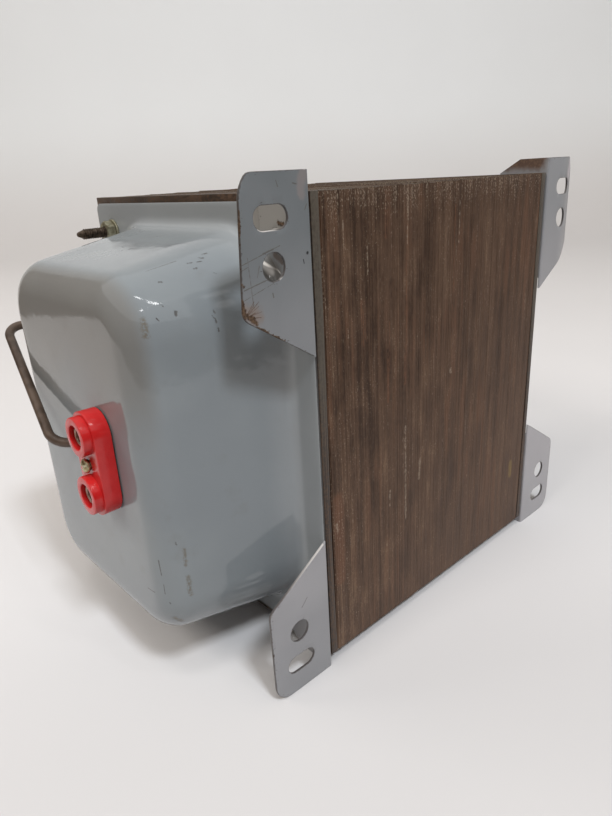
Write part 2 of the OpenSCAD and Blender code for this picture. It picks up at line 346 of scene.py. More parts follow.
def strokeGroup():
    group, given = newGroup("strokeMask", "ShaderNodeTree", "Float", place="Vector", start="Vector",
                            along="Vector", width="Float", ragged="Float")
    along = given["along"]
    fromStart = vectorCalc("SUBTRACT", given["place"], given["start"], 0)
    share = calc("DIVIDE", vectorCalc("DOT_PRODUCT", fromStart, along),
                 vectorCalc("DOT_PRODUCT", along, along), clamp=True)
    nearest = put(group, "ShaderNodeVectorMath", {0: along, "Scale": share}, operation="SCALE")
    worn = plus(vectorCalc("DISTANCE", fromStart, nearest), given["ragged"])
    closeGroup(group, step(worn, given["width"], times(given["width"], 0.35)))
    return group


strokes = strokeGroup()


def marks(place, lines, ragged=0.0, face=0.0):    # face: where marks of four numbers and a width lie in X
    mask = None
    for *ends, width in lines:
        if len(ends) == 4:
            ends = [face, *ends[:2], face, *ends[2:]]
        start, end = Vector(ends[:3]), Vector(ends[3:])
        one = put(place.id_data, "ShaderNodeGroup", {"place": place, "start": start, "along": end - start,
                                                     "width": width, "ragged": ragged}, node_tree=strokes)
        mask = one if mask is None else most(mask, one)
    return mask


# a finish's layers are a colour and its strength, and its marks a start, an end and a half width

# marks seen through the upper front ear's slot and round hole, on the cover and on the ear's leg: painted
# light, painted shade, a rust chip and a painted highlight
holeLightAndWear = {
    # a pale patch of painted light, seen through the slot, where the leg and the cover lie in shade
    "dust": ((-25, -63, 68.6, -12, -63, 67.4, 8), rgb(146, 143, 138), 0.9),
    # painted shade behind the round hole
    "spot": ((-16.4, -63.4, 53.2, -15.8, -63.4, 52.8, 5.6), rgb(82, 78, 74), 0.8),
    "chip": ((-14.4, -63.3, 57.7, -11.4, -63.3, 56, 1.4), rgb(74, 60, 50), 0.8),
    # a painted highlight: a soft glow and a bright streak, where the hollow behind the round hole reflects
    # the light
    "glow": ((-20.6, -64.4, 55, -16.8, -63.2, 52.4, 2.0), rgb(238, 235, 231), 0.36),
    "line": ((-20.4, -64.7, 56.1, -11.8, -62.6, 52.3, 0.7), rgb(238, 235, 231), 1),
}


def addHoleLightAndWear(colour, place, fine, *names):
    for name in names:
        line, *layer = holeLightAndWear[name]
        ragged = centred(fine, 0.8) if name == "chip" else 0.0
        colour = cover(colour, marks(place, [line], ragged), *layer)
    return colour


bellFinish = {
    "coat": (rgb(126, 132, 136), rgb(132, 138, 141)), "roughness": (0.05, 0.13),
    # the paler band round the flange is a painted reflection in the hollow where the wall meets the flange
    "grime": (rgb(104, 100, 92), 0.14), "filmed": (rgb(156, 158, 159), 0.42),
    # the darker upper front face is painted shade
    "smoky": (rgb(112, 106, 98), 0.6), "edge": (rgb(42, 36, 31), 0.9), "bare": (rgb(100, 92, 78), 0.74),
    "scratched": (rgb(66, 60, 54), 0.66), "nicked": (rgb(66, 60, 54), 0.7),
    # where the layers begin and end: away from the middle, and for the face's painted shade also upwards
    "filmedAt": (74, 64), "faceAt": (101, 106), "upperFaceShadeAt": (0, 36), "rimAt": (62.52, 62.36),
    # mottled rubs, then nicks and thin scratches
    "rubs": [
        (-21.3, -102.6, 45.6, -20.5, -102.9, 41.6, 1.3), (-19.4, -101.4, -22.8, -19.4, -101.6, -28.2, 0.8),
        (-19.4, -101.5, -32.2, -19.4, -101.4, -38.6, 0.95),
        (-24.2, -105.4, -47.6, -23.2, -103.4, -50.2, 1.3)],
    "nicks": [
        (-27.3, -84, 57.1, -26.9, -83, 57.2, 0.26), (-25, -83.6, 55.6, -24.8, -82.8, 55.8, 0.3),
        (-26.3, -81.4, 57.2, -25.9, -80.4, 57.4, 0.27), (-27.4, -80, 58.1, -26.8, -79, 58, 0.26),
        (-28.2, -78.3, 58.9, -27.7, -77, 59, 0.26), (-21.9, -79.2, 54.2, -21.6, -78.8, 54, 0.26),
        (-25.6, -94.4, 53.7, -25.3, -93.9, 53.6, 0.34), (-19.6, -93.9, 46.3, -19.4, -94.1, 45.6, 0.56),
        (-20.4, -99.5, 45.6, -20.1, -99, 44.9, 0.26), (-17.1, -83.9, 45.2, -16.9, -83.6, 44.4, 0.32),
        (-16.6, -84, 43, -16.3, -83.9, 42, 0.32), (-16, -83.7, 40.5, -15.8, -83.7, 39.7, 0.24),
        (-17, -84.6, 43.9, -16.6, -84.2, 43.2, 0.2), (-16.6, -83.2, 42.2, -16.1, -83.2, 41.2, 0.18),
        (-21.5, -97, 48.4, -21.2, -96.6, 48.1, 0.26), (-20.4, -103.4, -20, -20.3, -103.3, -20.6, 0.36)],
    "scratches": [
        (-30.2, -95.2, 56.4, -29.6, -86.1, 57.9, 0.2), (-24.7, -107.5, -26.1, -24.5, -107.4, -31.3, 0.24),
        (-24.3, -107.3, -34.6, -24.3, -107.3, -37.9, 0.18),
        (-32.6, -108.7, -39.2, -28.4, -108.6, -38.7, 0.22),
        (-23.4, -106.7, -41, -23.2, -106.6, -41.4, 0.3)],
}


def bellPaint():
    f = bellFinish
    material, shader, place = newMaterial("bellPaint")
    cloud = grain(place, 38, 3)
    smudge = grain(place, 9, 4, 7)
    fine = grain(place, 1.1, 3, 3)
    speckled = grain(place, 0.55, 3, 17)
    depth = calc("ABSOLUTE", partOf(place, "Y"))
    colour = blend(step(cloud, 0.35, 0.65), *f["coat"])
    # painted reflection makes the coat paler round the flange, and painted shade makes the front face a
    # little darker towards the top
    smoky = step(plus(partOf(place, "Z"), centred(cloud, 30)), *f["upperFaceShadeAt"])
    rubbed = marks(place, f["rubs"], plus(centred(fine, 1.6), centred(speckled, 1.6)))
    rubbed = times(rubbed, step(speckled, 0.41, 0.52))
    nicked = marks(place, f["nicks"], centred(speckled, 0.9))
    colour = coated(colour, f, grime=step(smudge, 0.58, 0.78),
                    filmed=step(plus(depth, centred(cloud, 6)), *f["filmedAt"]),
                    smoky=times(smoky, step(depth, *f["faceAt"])),
                    edge=step(plus(depth, centred(fine, 0.12)), *f["rimAt"]), bare=rubbed,
                    scratched=marks(place, f["scratches"], centred(speckled, 0.36)), nicked=nicked)
    # painted light, shade and highlight seen through the upper front ear's slot and round hole, and a rust
    # chip
    colour = addHoleLightAndWear(colour, place, fine, *holeLightAndWear)
    gloss = plus(step(smudge, 0.3, 0.75, f["roughness"]), times(most(rubbed, nicked), 0.4))
    peel = grain(place, 2.6, 1, 11)
    wave = grain(place, 22, 1, 5)
    feed(shader, colour, gloss, minus(mixOf((peel, 0.03), (wave, 0.35)), times(nicked, 0.08)))
    return material


earFinish = {
    "coat": (rgb(112, 117, 120), rgb(118, 122, 125)), "pale": (rgb(168, 165, 168), rgb(174, 171, 174)),
    "tableBounceLow": 0.45, "palerBack": 0.38, "palerMiddle": 0.24, "middleAt": (68, 38),
    "roughness": (0.28, 0.36),
    "speck": (rgb(88, 84, 76), 0.2), "stain": (rgb(140, 130, 128), 0.6),
    "bloom": (rgb(186, 176, 182), 0.8), "scratched": (rgb(88, 84, 76), 0.75),
    "hazed": (rgb(134, 110, 94), 0.45), "fanned": (rgb(86, 66, 50), 0.75),
    "edge": (rgb(56, 46, 40), 0.8), "bare": (rgb(206, 202, 198), 1), "dot": (rgb(28, 30, 32), 1),
    "leg": (rgb(84, 60, 46), rgb(104, 80, 62)), "rust": (rgb(60, 46, 36), rgb(100, 79, 60)),
    # thin scratches on the front ears, then dark dots, rust spots, and bare edges whose brightness is partly
    # a painted highlight where the light catches them
    "scratches": [
        (-86.6, 58.2, -73.5, 61.8, 0.14), (-79, 60.4, -75.6, 61.2, 0.3), (-85.8, 52.3, -75.5, 54.5, 0.2),
        (-84, 60, -83.2, 47.6, 0.12), (-80.5, 57.6, -81.4, 54.9, 0.12), (-86, 49.9, -76, 52.9, 0.1),
        (-86.5, 57, -84, 57.8, 0.14), (-76.8, 50.3, -76.6, 49.3, 0.28), (-68, 76.4, -66.8, 76.1, 0.22),
        (-73.4, 77.2, -73, 75.8, 0.2), (-63.6, 71.2, -64.4, 69.8, 0.18), (-71.8, -46.2, -74.2, -48.6, 0.2),
        (-85.6, -60.9, -84.4, -60.6, 0.2), (-85.6, -62.4, -84.2, -62.3, 0.26),
        (-86.1, -49.6, -85, -49.9, 0.22)],
    "dots": [(-64.1, 59, -64.2, 58.9, 0.55), (-65.7, 57.4, -65.5, 56.4, 0.2)],
    "spots": [
        (-86.3, 46.6, -82.6, 43.4, 0.85), (-86.9, 50.5, -86, 45.4, 0.62), (-86.3, 61, -86.8, 50, 0.4),
        (-85.2, 71, -86.2, 61, 0.26), (-86.5, 54.2, -85.9, 53.4, 0.6), (-82.6, 42.6, -74, 37.2, 0.4),
        (-84.2, 45.6, -83.4, 45, 0.5), (-86.9, -50, -86.8, -66, 0.3),
        (-12.2, -63.4, 66.4, -10, -63.4, 65.9, 0.8)],
    # fine rust streaks that spread from the ear's lower corner
    "fan": {"from": (-86.2, 45.6), "angles": (-12, 54), "count": 10, "reach": (2.4, 5.8), "width": 0.11,
            "seed": 5},
    "haze": [(-86, 46.6, -82.8, 45.2, 3.6)],
    "bareAndLitEdges": [
        (-85, -46, -63, -31, 1.7), (-63, 79, -62.6, 71, 1.4), (-80, 66, -70, 64.6, 0.6),
        (-71, 54, -73.5, 53, 1.0)],
    "stains": [(-64.5, 78.5, -65.4, 74, 2.2)], "blooms": [(85.5, 78, 83, 74, 5.0)],
    "rustyLeg": [(-24, 62.9, 79, -4.6, 62.9, 79, 5.2), (-16, 62.9, 70, -6, 62.9, 68, 5)],
}


def fanLines(fan):
    dice = random.Random(fan["seed"])
    y, z = fan["from"]
    first, last = fan["angles"]
    lines = []
    for k in range(fan["count"]):
        a = math.radians(first + (last - first) * (k + dice.random()) / fan["count"])
        near, far = dice.uniform(0.2, 1.4), dice.uniform(*fan["reach"])
        lines.append((y + near * math.cos(a), z + near * math.sin(a), y + far * math.cos(a),
                      z + far * math.sin(a), fan["width"] * dice.uniform(0.7, 1.3)))
    return lines


def earPaint():
    f = earFinish
    material, shader, place = newMaterial("earPaint")
    cloud = grain(place, 20)
    fine = grain(place, 0.8, 4, 2)
    dust = grain(place, 2.4, 5, 9)
    ticks = grain(place, 1.0, 2, 15, (1, 0.7, 2.2))
    rim = attribute(place, "rim")
    # painted light makes the coat paler on the lower ears, for the bounce from the table; it is also paler on
    # the back ones and towards the core's middle
    high = partOf(place, "Z")
    paler = plus(step(high, 1, -1, (0, f["tableBounceLow"])), step(partOf(place, "Y"), -1, 1, (0, f["palerBack"])))
    inner = step(calc("ABSOLUTE", high), *f["middleAt"], (0, f["palerMiddle"]))
    paler = calc("ADD", paler, inner, clamp=True)
    shade = step(cloud, 0.3, 0.7)
    colour = blend(paler, blend(shade, *f["coat"]), blend(shade, *f["pale"]))
    colour = coated(colour, f, speck=step(fine, 0.66, 0.74),
                    stain=marks(place, f["stains"], centred(dust, 3.0)),
                    bloom=marks(place, f["blooms"], centred(dust, 4.0)))
    scratched = marks(place, f["scratches"], centred(fine, 0.34))
    rusted = marks(place, f["spots"], plus(centred(fine, 1.7), centred(dust, 1.6)))
    colour = coated(colour, f, scratched=scratched, hazed=marks(place, f["haze"], centred(dust, 4.0)),
                    fanned=marks(place, fanLines(f["fan"]), centred(fine, 0.3)))
    # the pale patch of painted light seen through the slot
    colour = addHoleLightAndWear(colour, place, fine, "dust")
    leg = marks(place, f["rustyLeg"], centred(dust, 3.0))
    colour = cover(colour, leg, blend(step(fine, 0.4, 0.66), *f["leg"]), 0.9)
    outline = step(plus(rim, centred(fine, 0.5)), 0.36, 0.1)
    ticked = times(step(ticks, 0.64, 0.7), step(rim, 1.5, 0.5))
    colour = coated(colour, f, edge=most(outline, ticked))
    colour = blend(rusted, colour, blend(step(fine, 0.35, 0.65), *f["rust"]))
    # painted shade and a painted highlight behind the round hole, and a rust chip
    colour = addHoleLightAndWear(colour, place, fine, "spot", "chip", "glow", "line")
    # bare edges, lightened also by a painted highlight along the lower edges of the slot and round hole
    colour = coated(colour, f, bare=times(marks(place, f["bareAndLitEdges"]), step(rim, 0.4, 0.18)),
                    dot=marks(place, f["dots"], centred(fine, 0.2)))
    gloss = plus(step(cloud, 0.3, 0.7, f["roughness"]), times(rusted, 0.4))
    height = plus(times(grain(place, 1.6, 2, 4), 0.012), times(rusted, times(fine, 0.12)))
    feed(shader, colour, gloss, minus(height, times(scratched, 0.03)))
    return material


coreFinish = {
    "dark": rgb(58, 41, 30), "mid": rgb(90, 69, 55), "light": (rgb(122, 99, 80), 0.8),
    "rust": (rgb(110, 76, 57), 1), "chalk": (rgb(168, 152, 134), 1), "dust": (rgb(114, 110, 102), 0.9),
    "settled": (rgb(126, 106, 94), 0.24), "shaded": (rgb(20, 14, 10), 0.16),
    "yellow": (rgb(138, 116, 66), 0.6), "flecked": (rgb(168, 152, 134), 0.5),
    "share": {"sheet": 0.11, "bundle": 0.27, "patch": 0.28, "band": 0.2, "tone": 0.06, "fine": 0.14},
    # where the layers begin and end, front to back, upwards, and down a slope for the painted light and shade
    "frontAt": (10, -50), "roughAt": (-28, -58), "topAt": (58, 73), "settledAt": (60, -110),
    "shadedAt": (0, 110),
    "face": -0.4,    # where the marks lie in X
    "chalkLines": [
        (-22.6, -4, -22.2, -40, 0.5), (-30.9, -25, -31, -31, 0.4), (-14.2, -19, -14.8, -26.5, 0.8),
        (-21.9, 74, -21.7, 66, 0.7), (3, 10.4, 3, 9.4, 0.9), (-57, -27, -56.8, -29, 0.8),
        (-2, 73.4, -2, 71.8, 0.8), (-21.6, 66, -21.9, 57, 0.4), (-40.3, 58, -40.2, 50, 0.26),
        (-50, 66, -50, 58, 0.26), (5.4, 68, 5.6, 54, 0.3)],
    "rustLines": [
        (-21.8, 62, -23, 12, 1.2), (-31, 34, -31.4, 8, 1.1), (-31.6, 72, -32, 60, 1.2),
        (-43, 42, -42.4, 30, 1.8), (3, 66, 3.4, 26, 0.9)],
    "yellowSpot": [(50.1, -44, 50.3, -50, 1.7)],
    "rustBand": [(-56, -18, -56, -48, 3.2)],
}


def coreIron():
    f = coreFinish
    face, share = f["face"], f["share"]
    material, shader, place = newMaterial("coreIron")
    sheet = grain(place, 1.0, 2, 0, (0.02, 1.6, 0.05))
    bundle = grain(place, 1.0, 3, 4, (0.02, 0.34, 0.022))
    patch = grain(place, 1.0, 4, 31, (0.02, 0.16, 0.07))
    band = grain(place, 1.0, 2, 37, (0.02, 0.11, 0.012))
    broad = grain(place, 30, 3, 8, (1, 1, 0.6))
    fine = grain(place, 0.8, 4, 2, (1, 1, 0.5))
    speckle = grain(place, 0.42, 2, 21, (1, 1, 0.6))
    flecks = grain(place, 0.34, 1, 43, (1, 1, 0.7))
    chalky = grain(place, 1.0, 1, 13, (0.02, 0.9, 0.03))
    across, upward = partOf(place, "Y"), partOf(place, "Z")
    tone = minus(attribute(place, "sheetTone"), 0.5)
    worn = mixOf((sheet, share["sheet"]), (bundle, share["bundle"]), (patch, share["patch"]),
                 (band, share["band"]), (tone, share["tone"]), (fine, share["fine"]))
    # the edges stand out most towards the front
    frontward = step(plus(across, centred(broad, 30)), *f["frontAt"], (0.78, 1.2))
    worn = plus(centred(worn, frontward), 0.5)
    colour = blend(step(worn, 0.38, 0.55), f["dark"], f["mid"])
    rusty = times(times(step(bundle, 0.48, 0.62), step(broad, 0.45, 0.6)), 0.32)
    rustBand = marks(place, f["rustBand"], centred(fine, 3.0), face)
    lined = marks(place, f["rustLines"], plus(centred(fine, 1.2), centred(patch, 1.0)), face)
    lined = times(lined, step(plus(sheet, centred(fine, 0.7)), 0.38, 0.62))
    colour = coated(colour, f, light=step(worn, 0.52, 0.64),
                    rust=most(rusty, times(most(rustBand, lined), 0.6)),
                    flecked=times(step(flecks, 0.68, 0.74), step(patch, 0.42, 0.6)))
    # pale dust caught on the edges, more of it near the front and the top
    rough = step(plus(across, centred(broad, 40)), *f["roughAt"])
    topmost = step(plus(upward, centred(fine, 8)), *f["topAt"])
    limit = minus(0.72, times(most(rough, times(topmost, 1.5)), 0.1))
    dustSpot = step(minus(mixOf((speckle, 0.6), (sheet, 0.4)), limit), -0.05, 0.05)
    drawn = marks(place, f["chalkLines"], plus(centred(fine, 1.6), centred(speckle, 0.6)), face)
    drawn = times(drawn, step(speckle, 0.36, 0.56))
    chalk = times(step(chalky, 0.64, 0.76), step(fine, 0.45, 0.65))
    chalk = times(times(chalk, step(speckle, 0.42, 0.56)), 0.34)
    chalk = most(most(chalk, times(drawn, 0.6)), times(dustSpot, 0.6))
    # painted light makes the edges paler low and towards the back, for the bounce from the table, and painted
    # shade makes them darker high and towards the front; dust lies on the top between the sheets' lines
    slope = plus(minus(upward, times(across, 0.6)), centred(broad, 60))
    lying = step(mixOf((sheet, 0.7), (fine, 0.3)), 0.25, 0.6)
    colour = coated(colour, f, chalk=chalk, yellow=marks(place, f["yellowSpot"], centred(fine, 1.6), face),
                    settled=step(slope, *f["settledAt"]), shaded=step(slope, *f["shadedAt"]),
                    dust=times(step(facing(place, "Z"), 0.4, 0.8), lying))
    shader.inputs["Specular IOR Level"].default_value = 0.25
    feed(shader, colour, step(worn, 0.3, 0.7, (0.5, 0.75)), mixOf((worn, 0.6), (fine, 0.2)), 0.4, 0.9)
    return material


packetFinish = {"smooth": (rgb(74, 67, 59), rgb(86, 79, 70)), "rusty": (rgb(46, 36, 29), rgb(82, 63, 49)),
                "roughness": (0.35, 0.6)}


def packetVarnish():
    f = packetFinish
    material, shader, place = newMaterial("packetVarnish")
    streak = grain(place, 1.0, 3, 6, (0.05, 1.3, 0.02))
    fine = grain(place, 0.8, 4, 1)
    upper = step(plus(partOf(place, "Z"), centred(streak, 90)), -20, 40)
    upper = times(upper, step(facing(place, "X"), 0.5, 0.8))
    rusty = blend(step(mixOf((streak, 0.5), (fine, 0.5)), 0.42, 0.6), *f["rusty"])
    colour = blend(upper, rusty, blend(step(fine, 0.35, 0.65), *f["smooth"]))
    feed(shader, colour, step(fine, 0.3, 0.7, f["roughness"]), plus(streak, times(fine, 0.2)), 0.25, 0.7)
    return material


# base, tarnish, how metallic, roughness, size of the clouds, and rust where there is some
metals = {
    "studSteel": {"coat": (rgb(92, 78, 66), rgb(58, 47, 38)), "metallic": 0.6, "roughness": (0.35, 0.6)},
    "zincPlate": {"coat": (rgb(176, 172, 148), rgb(140, 134, 112)), "metallic": 0.75,
                  "roughness": (0.28, 0.5), "rust": rgb(112, 92, 66)},
    "brassWorn": {"coat": (rgb(190, 180, 146), rgb(150, 134, 98)), "metallic": 0.9,
                  "roughness": (0.28, 0.42)},
    "tubeNickel": {"coat": (rgb(188, 172, 158), rgb(150, 122, 104)), "metallic": 0.9,
                   "roughness": (0.28, 0.4), "size": 2.4},
    "rodLacquer": {"coat": (rgb(90, 75, 64), rgb(66, 53, 44)), "metallic": 0.15, "roughness": (0.3, 0.45),
                   "size": 5},
    "gasketRubber": {"coat": (rgb(52, 42, 38), rgb(70, 58, 52)), "metallic": 0.0, "roughness": (0.6, 0.8)},
}


def metalFinish(name):
    f = metals[name]
    size = f.get("size", 1.2)
    material, shader, place = newMaterial(name, Metallic=f["metallic"])
    cloud = grain(place, size, 4, 5)
    fine = grain(place, size * 0.3, 3, 8)
    colour = blend(step(cloud, 0.38, 0.66), *f["coat"])
    if "rust" in f:
        colour = cover(colour, step(fine, 0.58, 0.7), f["rust"])
    feed(shader, colour, step(fine, 0.3, 0.7, f["roughness"]), fine, 0.04)
    return material


redFinish = {"coat": (rgb(184, 30, 31), rgb(192, 38, 38)), "roughness": (0.14, 0.24)}


def redPlastic():
    material, shader, place = newMaterial("redPlastic")
    cloud = grain(place, 5, 3)
    colour = blend(step(cloud, 0.35, 0.65), *redFinish["coat"])
    feed(shader, colour, step(cloud, 0.3, 0.7, redFinish["roughness"]), grain(place, 0.5, 2, 6), 0.02)
    return material


def tableFinish():    # paler up the wall, and painted shade makes it a little darker towards the viewer
    material, shader, place = newMaterial("tableFinish", Roughness=0.9)
    a = math.radians(camera["azimuth"])
    ahead = vectorCalc("DOT_PRODUCT", place, (-math.sin(a), math.cos(a), 0))
    colour = blend(step(partOf(place, "Z"), *stage["paleAt"]), stage["table"], stage["wall"])
    shade = times(step(ahead, *stage["nearerAt"], (1.0, stage["nearer"])),
                  step(grain(place, 160, 3), 0.2, 0.8, (0.985, 1.0)))
    shader.inputs["Specular IOR Level"].default_value = 0.1
    feed(shader, blend(shade, (0, 0, 0, 1), colour))
    return material


bellCoat = bellPaint()
earCoat = earPaint()
coreEdge = coreIron()
packetCoat = packetVarnish()
studSteel, zincPlate, brassWorn, tubeNickel, rodLacquer, gasketRubber = map(metalFinish, metals)
redCoat = redPlastic()
print("materials ready")


core = {"sheet": 0.5, "gap": 0.02, "sideShift": 0.07, "endShift": 0.28, "joint": 0.18, "seed": 7,
        "slit": 0.4, "inset": 0.3}


def grownMesh(name, group, **values):
    holder = show(name, bpy.data.meshes.new("holder"))
    modifier = holder.modifiers.new("build", "NODES")
    modifier.node_group = group
    for item in group.interface.items_tree:
        if item.name in values:
            modifier[item.identifier] = values[item.name]
    bpy.context.view_layer.update()
    evaluated = holder.evaluated_get(bpy.context.evaluated_depsgraph_get())
    mesh = bpy.data.meshes.new_from_object(evaluated)
    bpy.data.objects.remove(holder)
    mesh.name = name
    return mesh


def sheetStackTree():
    group, given = newGroup(
        "sheetStack", "GeometryNodeTree", "Geometry", count="Int", pitch="Float", thickness="Float",
        start="Vector", width="Float", height="Float", joint="Float", sideShift="Float", endShift="Float",
        seed="Int")

    def vector(x, y, z):
        return put(group, "ShaderNodeCombineXYZ", (x, y, z))

    def slab(width, middle):
        size = vector(width, given["thickness"], given["height"])
        cube = put(group, "GeometryNodeMeshCube", {"Size": size})
        return put(group, "GeometryNodeTransform",
                   {"Geometry": cube, "Translation": vector(middle, 0.0, 0.0)})

    def dice(low, seed):
        return put(group, "FunctionNodeRandomValue", {2: low, 3: 1.0, "Seed": seed}, out=1)

    # an E and an I sheet side by side make one layer; every second layer is turned round
    width = given["width"]
    body = minus(times(width, 0.8), given["joint"])
    layer = group.nodes.new("GeometryNodeJoinGeometry")
    for part in (slab(times(width, 0.2), times(width, 0.4)), slab(body, times(minus(body, width), 0.5))):
        group.links.new(part, layer.inputs[0])
    row = put(group, "GeometryNodeMeshLine", {"Count": given["count"], "Start Location": given["start"],
                                              "Offset": vector(0.0, given["pitch"], 0.0)})
    index = put(group, "GeometryNodeInputIndex")
    turned = times(calc("MODULO", index, 2.0), math.pi)

    def shiftOf(limit, seedShift):    # sheets stand out one by one and in bunches
        seed = plus(given["seed"], seedShift)
        along = vector(times(index, 0.16), seed, 0.0)
        bunch = put(group, "ShaderNodeTexNoise", {"Vector": along, "Scale": 1.0})
        both = plus(times(dice(-1.0, seed), 0.45), centred(bunch, 3.4))
        return times(put(group, "ShaderNodeClamp", {"Value": both, "Min": -1.0, "Max": 1.0}), limit)

    shift = vector(shiftOf(given["sideShift"], 1.0), 0.0, shiftOf(given["endShift"], 2.0))
    moved = put(group, "GeometryNodeSetPosition", {"Geometry": row, "Offset": shift})
    placed = put(group, "GeometryNodeInstanceOnPoints",
                 {"Points": moved, "Instance": layer.outputs[0], "Rotation": vector(0.0, 0.0, turned)})
    named = put(group, "GeometryNodeStoreNamedAttribute",
                {"Geometry": placed, "Name": "sheetTone", "Value": dice(0.0, given["seed"])},
                domain="INSTANCE")
    closeGroup(group, put(group, "GeometryNodeRealizeInstances", {"Geometry": named}))
    return group


def buildCore():
    low, high = spanOf("lamination_stack")
    middle = (low + high) / 2
    length = high.y - low.y - 2 * core["slit"]
    count = round(length / core["sheet"])
    pitch = length / count
    mesh = grownMesh(
        "laminations", sheetStackTree(), count=count, pitch=pitch * mm,
        thickness=(pitch - core["gap"]) * mm,
        start=Vector((middle.x, low.y + core["slit"] + pitch / 2, middle.z)) * mm,
        width=(high.x - low.x - 2 * core["sideShift"]) * mm,
        height=(high.z - low.z - 2 * core["endShift"]) * mm,
        joint=core["joint"] * mm, sideShift=core["sideShift"] * mm, endShift=core["endShift"] * mm,
        seed=core["seed"])
    # what the gaps between the sheets look into
    bm = bmesh.new()
    bm.from_mesh(mesh)
    size = high - low - Vector((2 * core["inset"], core["gap"], 2 * core["inset"]))
    for v in bmesh.ops.create_cube(bm, size=1)["verts"]:
        v.co = (middle + v.co * size) * mm
    bm.to_mesh(mesh)
    bm.free()
    addPiece("lamination_stack", mesh, coreEdge)


packet = {"thickness": 2.95, "bow": 0.55, "bowAt": 0.3, "bowWide": 0.28, "rows": 40, "ragged": 0.05,
          "inset": 0.05, "round": 0.15}


def buildPacket(node, side):    # side is -1 at the front and 1 at the back
    p = packet
    low, high = spanOf(node)
    outer = low.y if side < 0 else high.y
    bm = bmesh.new()
    rings = []
    for k in range(p["rows"] + 1):
        share = k / p["rows"]
        z = low.z + (high.z - low.z) * share
        slack = p["bow"] * math.exp(-((share - p["bowAt"]) / p["bowWide"]) ** 2)
        ragged = p["ragged"] * noise.noise(Vector((0, side * 3, z * 0.2)))
        inner = outer - side * (p["thickness"] - slack)
        x0, x1 = low.x + p["inset"], high.x - p["inset"] + ragged - p["inset"]
        rings.append([Vector((x, y, z)) for x, y in ((x0, outer), (x1, outer), (x1, inner), (x0, inner))])
    loft(bm, rings)
    bmesh.ops.recalc_face_normals(bm, faces=bm.faces)
    roundEdges(bm, p["round"])
    finishPiece(node, bm, packetCoat)


buildCore()
buildPacket("front_packet", -1)
buildPacket("back_packet", 1)
print("core built")


bell = {"flange": 0.8, "frontDepth": 47.0, "wall": (102.5, 127.0), "face": (88.4, 116.0), "rootCorner": 27.0,
        "faceCorner": 19.0, "edge": 11.0, "rootFillet": 3.6, "flangeCorner": 3.0, "rim": 0.25,
        "faceRings": 9, "edgeRings": 12, "wallRings": 14, "filletRings": 7, "dents": 0.10, "dentSize": 26.0}


def bellRings(depth, flangeHalf):
    b = bell
    wall = Vector(b["wall"]) / 2
    face = wall.lerp(Vector(b["face"]) / 2, (depth - b["flange"]) / (b["frontDepth"] - b["flange"]))
    edge, fillet, corner, rim = b["edge"], b["rootFillet"], b["faceCorner"], b["rim"]
    shoulder = depth - edge
    slope = (wall.x - face.x) / (shoulder - b["flange"])
    lean = math.atan(slope)
    rings = []

    def ring(inward, radius, z):
        rings.append([(p, z) for p in roundedOutline(face.x - inward, face.y - inward, radius)])

    for k in range(b["faceRings"], 0, -1):    # flat face, from the middle outwards
        inset = (face.x - edge) * 0.985 * k / b["faceRings"]
        ring(edge + inset, max(corner - edge - inset, 0.3), depth)
    for k in range(b["edgeRings"] + 1):    # rounded edge
        a = math.pi / 2 + (lean - math.pi / 2) * k / b["edgeRings"]
        inset = edge * (1 - math.cos(a))
        ring(inset, corner - inset, shoulder + edge * math.sin(a))
    topOut, topZ = edge * (math.cos(lean) - 1), shoulder + edge * math.sin(lean)
    footZ = b["flange"] + fillet * (1 - math.sin(lean))
    footOut = topOut + (topZ - footZ) * slope
    for k in range(1, b["wallRings"] + 1):    # wall
        s = k / b["wallRings"]
        ring(-(topOut + (footOut - topOut) * s), corner + topOut + (b["rootCorner"] - corner - topOut) * s,
             topZ + (footZ - topZ) * s)
    for k in range(1, b["filletRings"] + 1):    # hollow where the wall runs into the flange
        a = lean + (math.pi / 2 - lean) * k / b["filletRings"]
        out = footOut + fillet * (math.cos(lean) - math.cos(a))
        ring(-out, b["rootCorner"] + out - footOut, b["flange"] + fillet * (1 - math.sin(a)))
    last = [p for p, z in rings[-1]]
    half = flangeHalf - Vector((rim, rim))
    outer = roundedOutline(half.x, half.y, b["flangeCorner"] - rim)
    for s in (0.25, 0.5, 0.75):    # flange and its rounded rim
        rings.append([(p.lerp(q, s), b["flange"]) for p, q in zip(last, outer)])
    for a in (math.radians(90), math.radians(60), math.radians(30), 0):
        out = rim * math.cos(a)
        rings.append([(p, b["flange"] - rim + rim * math.sin(a)) for p in
                      roundedOutline(half.x + out, half.y + out, b["flangeCorner"] - rim + out)])
    rings.append([(p, 0.0) for p, z in rings[-1]])
    return rings


def buildBell(node, side):
    low, high = spanOf(node)
    base = high.y if side < 0 else low.y
    middle = (low + high) / 2
    bm = bmesh.new()
    loft(bm, [[Vector((middle.x - side * p.x, base + side * z, middle.z + p.y)) for p, z in ring]
              for ring in bellRings(high.y - low.y, Vector((high.x - low.x, high.z - low.z)) / 2)])
    bmesh.ops.recalc_face_normals(bm, faces=bm.faces)
    bm.normal_update()
    for v in bm.verts:    # drawn sheet is never quite flat
        out = abs(v.co.y - base) - bell["flange"]
        if out > 0.5:
            lump = noise.noise(v.co / bell["dentSize"] + Vector((5, 5, 5))) - 0.5
            v.co += v.normal * bell["dents"] * lump * min(1, out / 6)
            v.co = Vector(min(b, max(a, c)) for a, b, c in zip(low, high, v.co))
    finishPiece(node, bm, bellCoat, 50)


buildBell("front_bell", -1)
buildBell("back_bell", 1)
print("bells built")


ears = {"plate": 0.8, "round": 0.16, "mesh": (1.25, 1.25, 2.5), "smoothing": 21,
        "leanFrom": 19, "leanWide": 6, "leanHigh": 34, "curlFrom": 12, "curlWide": 15}
